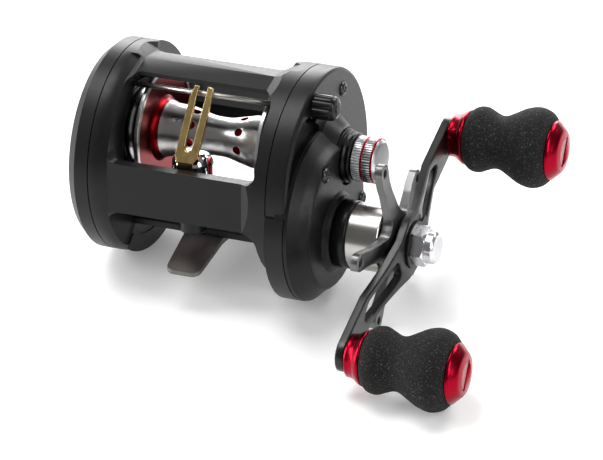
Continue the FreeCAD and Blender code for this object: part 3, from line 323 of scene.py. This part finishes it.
def dress_everything():
    dress(["frame", "left_cover", "gear_cover"], satin_paint("satin_black_paint"))
    dress(["control_collar", "drive_collar"],
          satin_paint("satin_black_collar", BLACK_PART, 0.30, 0.08))
    dress(["handle_retainer"], satin_paint("black_lock_plate", BLACK_PART, 0.32, 0.10))
    dress(["reel_foot"],
          brushed_metal("polished_foot", (0.17, 0.163, 0.155), 0.38, (500.0, 40.0, 500.0), 0.03))
    dress(["handle_arm"],
          brushed_metal("gunmetal_arm", (0.040, 0.041, 0.040), 0.30, (1200.0, 90.0, 500.0), 0.12, 0.9))
    dress(["star_drag"],
          brushed_metal("gunmetal_star", (0.185, 0.185, 0.185), 0.34, (900.0, 300.0, 300.0), 0.02))
    dress(["foot_rivets", "cover_screws", "left_cover_screws"],
          brushed_metal("black_screw", (0.07, 0.07, 0.072), 0.28, (700.0, 700.0, 700.0)))
    dress(["spool_bearing_left", "spool_bearing_right", "spool_shaft", "spool_pin", "brake_ring"],
          turned_metal("ground_steel_spool", STEEL, 0.20, SPOOL_AXIS))
    dress(["drive_shaft_bearing", "drive_shaft", "one_way_bearing", "one_way_rollers", "one_way_tube",
           "drag_spring_washers"], turned_metal("ground_steel_drive", STEEL, 0.22, DRIVE_AXIS))
    dress(["yoke_posts", "yoke_springs", "clutch_yoke", "clutch_cam", "pawl"],
          brushed_metal("bright_steel", STEEL, 0.24, (800.0, 800.0, 200.0)))
    dress(["upper_spindle"], turned_metal("upper_spindle_steel", STEEL, 0.2, middle("upper_spindle")))
    dress(["lower_spindle"], turned_metal("lower_spindle_steel", STEEL, 0.2, middle("lower_spindle")))
    dress(["line_guide_carriage"], polished_metal("chrome", CHROME, 0.06))
    dress(["guide_rod"], polished_metal("ground_rod", (0.50, 0.48, 0.45), 0.24))
    dress(["pawl_cap"], satin_paint("black_pawl_cap", BLACK_PART, 0.30, 0.08))
    dress(["bearing_sleeve"], turned_metal("polished_sleeve", (0.50, 0.485, 0.46), 0.22, DRIVE_AXIS, 0.12))
    dress(["handle_nut"], polished_metal("polished_nut", (0.70, 0.70, 0.72), 0.22))
    dress(["cast_control_knob"], knurled_silver())
    dress(["cast_control_rings"], turned_metal("red_rings", RED, 0.24, SPOOL_AXIS, 0.15))
    for side in ("upper", "lower"):
        axis = middle(side + "_spindle")
        dress([side + "_knob_collar", side + "_knob_cap"],
              turned_metal(side + "_red_anodised", RED, 0.24, axis, 0.22))
        dress([side + "_knob_bushing"], moulded_plastic(side + "_bush_plastic", (0.03, 0.03, 0.03)))
        dress([side + "_knob_grip"], speckled_foam(side + "_foam_core"))
    dress(["line_guide_fork"], brushed_metal("gold_fork", BRASS, 0.20, (600.0, 600.0, 120.0), 0.10))
    dress(["drive_gear", "pinion"], brushed_metal("bronze_gear", BRASS, 0.30, (300.0, 900.0, 900.0)))
    dress(["worm_gear", "worm_bushings"], brushed_metal("brass_gear", BRASS, 0.34, (300.0, 900.0, 900.0)))
    dress(["free_spool_button"], satin_paint("ribbed_button", BLACK_PART, 0.22, 0.06))
    dress(["brake_hub", "level_wind_gear"], moulded_plastic("black_plastic", (0.02, 0.02, 0.021)))
    dress(["brake_blocks"], moulded_plastic("white_plastic", (0.72, 0.72, 0.68), 0.5))
    dress(["drag_washers"], moulded_plastic("drag_fibre", (0.10, 0.08, 0.055), 0.7))
    dress(["spool"], spool_finish())


# ---------------------------------------------------------------- mesh helpers
def shaped(name, mesh_maker, body, replaces, material):
    """Makes a mesh object with a bmesh function, parents it to its body's empty and hides the CAD parts it
    replaces.
    """
    mesh = bpy.data.meshes.new(name)
    bm = bmesh.new()
    mesh_maker(bm)
    bmesh.ops.recalc_face_normals(bm, faces=bm.faces)
    bm.to_mesh(mesh)
    bm.free()
    mesh.materials.append(material)
    for polygon in mesh.polygons:
        polygon.use_smooth = True
    piece = bpy.data.objects.new(name, mesh)
    bpy.context.scene.collection.objects.link(piece)
    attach(piece, body)
    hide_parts(*replaces)
    return piece


def revolve(bm, axis, profile, steps, offset=None):
    """Surface of revolution about an axis along X, returned as its rings of points.

    The profile is a list of (x, radius), and offset(x, angle) is added to each radius.
    """
    rings = []
    for x, radius in profile:
        ring = []
        for k in range(steps):
            a = 2 * math.pi * k / steps
            r = radius + (offset(x, a) if offset else 0.0)
            ring.append(bm.verts.new((x, axis.y + r * math.cos(a), axis.z + r * math.sin(a))))
        rings.append(ring)
    for low, high in zip(rings, rings[1:]):
        for k in range(steps):
            n = (k + 1) % steps
            bm.faces.new((low[k], low[n], high[n], high[k]))
    return rings


def closed_ends(bm, rings):
    bm.faces.new(rings[0])
    bm.faces.new(list(reversed(rings[-1])))


def smooth_curve(points, count):
    """Catmull-Rom points through a list of (x, radius)."""
    padded = [points[0]] + list(points) + [points[-1]]
    result = []
    for k in range(1, len(padded) - 2):
        p0, p1, p2, p3 = padded[k - 1:k + 3]
        for step in range(count):
            t = step / count
            value = []
            for a, b, c, d in zip(p0, p1, p2, p3):
                value.append(0.5 * (2 * b + (c - a) * t + (2 * a - 5 * b + 4 * c - d) * t * t
                                    + (3 * b - a - 3 * c + d) * t ** 3))
            result.append(tuple(value))
    result.append(tuple(points[-1]))
    return result


# ---------------------------------------------------------------- refined pieces
# foam grip outline: (share of its length, share of its largest radius)
GRIP_SHAPE = [(0.0, 0.635), (0.018, 0.70), (0.08, 0.795), (0.165, 0.815), (0.26, 0.735), (0.345, 0.668),
              (0.43, 0.685), (0.54, 0.80), (0.67, 0.945), (0.80, 1.0), (0.91, 0.935), (0.975, 0.81),
              (1.0, 0.725)]
GRIP_STEPS = 96
GRIP_CURVE_STEPS = 6
GRIP_SKIN = 0.00004         # how far the skin is uneven
GRIP_BORE = 0.00507


def foam_grip(side):
    """Foam grip with a faintly uneven skin, open at both ends for the knob's core."""
    low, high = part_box(side + "_knob_grip")
    axis = (low + high) / 2
    length, widest = high.x - low.x, (high.z - low.z) / 2 - GRIP_SKIN
    seed = 1.0 if side == "upper" else 2.3

    def skin(x, angle):
        along = (x - low.x) / length
        waves = (math.sin(5 * angle + 9 * along + seed) + math.sin(11 * angle - 23 * along)
                 + math.sin(17 * along + 3 * angle))
        return GRIP_SKIN * waves / 3 - GRIP_SKIN

    def make(bm):
        outline = [(low.x + s * length, r * widest) for s, r in GRIP_SHAPE]
        profile = smooth_curve(outline, GRIP_CURVE_STEPS)
        rings = revolve(bm, axis, profile, GRIP_STEPS, skin)
        inner = revolve(bm, axis, [(high.x, GRIP_BORE), (low.x, GRIP_BORE)], GRIP_STEPS)
        for first, second in ((rings[-1], inner[0]), (inner[-1], rings[0])):
            for k in range(GRIP_STEPS):
                n = (k + 1) % GRIP_STEPS
                bm.faces.new((first[k], first[n], second[n], second[k]))

    piece = shaped(side + "_foam_grip", make, side + "_knob", [side + "_knob_grip"],
                   speckled_foam(side + "_foam"))


WORM_TURNS = 5.0
WORM_STEPS = 64
WORM_RINGS = 260
WORM_BODY_HALF = 0.0224     # half the length of the full-width body
WORM_GROOVED = 0.86         # share of the body that the groove's turns take up
WORM_GROOVE_END = 0.93      # share of the body's half where the groove stops
WORM_GROOVE_DEPTH = 0.0009
WORM_GROOVE_HALF_WIDTH = 0.0011
WORM_JOURNAL = 0.0015
WORM_TIP = 0.0011
WORM_TIP_BEVEL = 0.0004
WORM_BODY_BEVEL = 0.0002


def grooved_worm():
    """Reversing worm with its two crossed grooves, as round as the CAD shaft's body."""
    low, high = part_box("worm_shaft")
    radius = (high.z - low.z) / 2
    pitch = 2 * WORM_BODY_HALF * WORM_GROOVED / WORM_TURNS

    def groove(x, angle):
        if abs(x) > WORM_BODY_HALF * WORM_GROOVE_END:
            return 0.0
        cut = 0.0
        for way in (1, -1):
            place = (x / pitch - way * angle / (2 * math.pi)) % 1.0
            distance = min(place, 1 - place) * pitch
            if distance < WORM_GROOVE_HALF_WIDTH:
                arc = math.sqrt(1 - (distance / WORM_GROOVE_HALF_WIDTH) ** 2)
                cut = max(cut, WORM_GROOVE_DEPTH * arc)
        return -cut

    def make(bm):
        full = WORM_BODY_HALF - WORM_BODY_BEVEL
        shoulder = radius - WORM_BODY_BEVEL
        profile = [(low.x, WORM_TIP), (low.x + WORM_TIP_BEVEL, WORM_JOURNAL),
                   (-WORM_BODY_HALF, WORM_JOURNAL), (-WORM_BODY_HALF, shoulder)]
        profile += [(-WORM_BODY_HALF + WORM_BODY_BEVEL + 2 * full * k / WORM_RINGS, radius)
                    for k in range(WORM_RINGS + 1)]
        profile += [(WORM_BODY_HALF, shoulder), (WORM_BODY_HALF, WORM_JOURNAL),
                    (high.x - WORM_TIP_BEVEL, WORM_JOURNAL), (high.x, WORM_TIP)]
        closed_ends(bm, revolve(bm, WORM_AXIS, profile, WORM_STEPS, groove))

    shaped("grooved_worm", make, "worm", ["worm_shaft"],
           turned_metal("worm_steel", STEEL, 0.2, WORM_AXIS, 0.15))


# ---------------------------------------------------------------- softened CAD edges
EDGE_WIDTHS = {
    "frame": 0.00025, "left_cover": 0.00025, "gear_cover": 0.00025, "reel_foot": 0.0003,
    "star_drag": 0.00035, "handle_arm": 0.00045, "handle_retainer": 0.00012, "handle_nut": 0.00018,
    "free_spool_button": 0.0002, "line_guide_fork": 0.00018, "line_guide_carriage": 0.0002,
    "pawl_cap": 0.0003, "spool": 0.00012, "bearing_sleeve": 0.0001, "cast_control_knob": 0.00008,
}
CREASE = math.radians(24)
WELD_REACH = 1e-6


def soften_edges():
    """Welds each CAD mesh, rounds its sharp edges slightly, and smooths its curved faces."""
    for name, piece in nodes.items():
        weld = piece.modifiers.new("weld", "WELD")
        weld.merge_threshold = WELD_REACH
        if name in EDGE_WIDTHS:
            bevel = piece.modifiers.new("soft_edges", "BEVEL")
            bevel.width = EDGE_WIDTHS[name]
            bevel.segments = 2
            bevel.limit_method = "ANGLE"
            bevel.angle_limit = CREASE
            bevel.use_clamp_overlap = True
            bevel.harden_normals = True
            normals = piece.modifiers.new("flat_faces", "WEIGHTED_NORMAL")
            normals.keep_sharp = True
        for polygon in piece.data.polygons:
            polygon.use_smooth = True
        piece.data.set_sharp_from_angle(angle=CREASE)


# ---------------------------------------------------------------- stage
RESTING_ROUNDS = 12
FLOOR_HALF = 6.0
FLOOR_GAP = 0.0002
LIGHT_AIM = Vector((0.02, -0.01, 0.02))


def lowest(node, up):
    """The vertex of a CAD node that lies furthest against a direction."""
    return min((v.co for v in nodes[node].data.vertices), key=lambda p: p.dot(up)).copy()


def resting_plane():
    """The plane that the left cover, the gear case and the lower grip rest on: (a point, its normal)."""
    up = UP.copy()
    for _ in range(RESTING_ROUNDS):
        a, b, c = [lowest(node, up) for node in ("left_cover", "frame", "lower_knob_grip")]
        up = (b - a).cross(c - a).normalized()
        if up.z < 0:
            up = -up
    return min(a, b, c, key=lambda p: p.dot(up)), up


def floor_material():
    """Pale floor that stays pale far from the lamps."""
    s = Shader("pale_floor", (0.93, 0.93, 0.93), 0.6, 0.0, Emission_Color=(1.0, 1.0, 1.0, 1.0))
    s.colour(s.mix(s.noise(6.0, 2.0), (0.92, 0.92, 0.92), (0.94, 0.94, 0.94)))
    away = s.add("ShaderNodeVectorMath", operation="LENGTH")
    s.feed(away, 0, s.place())
    glow = s.add("ShaderNodeMapRange")
    s.feed(glow, "Value", away.outputs["Value"])
    for socket, value in (("From Min", 0.3), ("From Max", 1.8), ("To Min", 0.16), ("To Max", 0.75)):
        glow.inputs[socket].default_value = value
    s.feed(s.bsdf, "Emission Strength", glow.outputs[0])
    return s.material


def make_floor():
    point, up = resting_plane()
    mesh = bpy.data.meshes.new("floor")
    corners = [(x * FLOOR_HALF, y * FLOOR_HALF, 0) for x, y in ((-1, -1), (1, -1), (1, 1), (-1, 1))]
    mesh.from_pydata(corners, [], [(0, 1, 2, 3)])
    mesh.materials.append(floor_material())
    floor = bpy.data.objects.new("floor", mesh)
    bpy.context.scene.collection.objects.link(floor)
    turn = UP.rotation_difference(up).to_matrix().to_4x4()
    floor.matrix_world = Matrix.Translation(point - up * FLOOR_GAP) @ turn


def softbox(name, place, size, watts):
    data = bpy.data.lights.new(name, "AREA")
    data.shape = "RECTANGLE"
    data.size, data.size_y = size
    data.energy = watts
    lamp = bpy.data.objects.new(name, data)
    bpy.context.scene.collection.objects.link(lamp)
    lamp.location = place
    aim = LIGHT_AIM - Vector(place)
    lamp.rotation_mode = "QUATERNION"
    lamp.rotation_quaternion = aim.to_track_quat("-Z", "Y")


def make_lights():
    softbox("back", (-0.50, 1.25, 0.62), (1.3, 0.5), 20.0)
    softbox("top_back", (0.45, 0.75, 0.95), (0.6, 0.5), 8.0)
    softbox("top", (-0.35, -0.15, 1.1), (0.6, 0.6), 9.0)
    softbox("left_side", (-0.95, -0.45, 0.30), (0.3, 0.9), 10.0)
    softbox("right_side", (1.0, -0.55, 0.55), (0.30, 0.9), 6.0)
    world = bpy.data.worlds.new("studio")
    world.use_nodes = True
    background = world.node_tree.nodes["Background"]
    background.inputs["Color"].default_value = (1.0, 1.0, 1.0, 1.0)
    background.inputs["Strength"].default_value = 0.18
    bpy.context.scene.world = world
    bpy.context.scene.view_settings.view_transform = "Standard"


def make_camera():
    data = bpy.data.cameras.new("camera")
    data.lens = CAMERA_LENS
    data.clip_start, data.clip_end = 0.05, 50.0
    camera = bpy.data.objects.new("camera", data)
    bpy.context.scene.collection.objects.link(camera)
    a, e = math.radians(CAMERA_AZIMUTH), math.radians(CAMERA_ELEVATION)
    back = Vector((math.sin(a) * math.cos(e), -math.cos(a) * math.cos(e), math.sin(e)))
    anchor = Vector((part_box("gear_cover")[0].x, RING_AXIS.y, RING_AXIS.z))
    right = UP.cross(back).normalized()
    target = anchor + right * AIM_RIGHT + back.cross(right) * AIM_UP
    camera.location = anchor + back * CAMERA_DISTANCE
    camera.rotation_mode = "QUATERNION"
    camera.rotation_quaternion = (target - camera.location).to_track_quat("-Z", "Y")
    bpy.context.scene.camera = camera


# ---------------------------------------------------------------- build
dress_everything()
soften_edges()
for knob in ("upper", "lower"):
    foam_grip(knob)
grooved_worm()
make_floor()
make_lights()
make_camera()
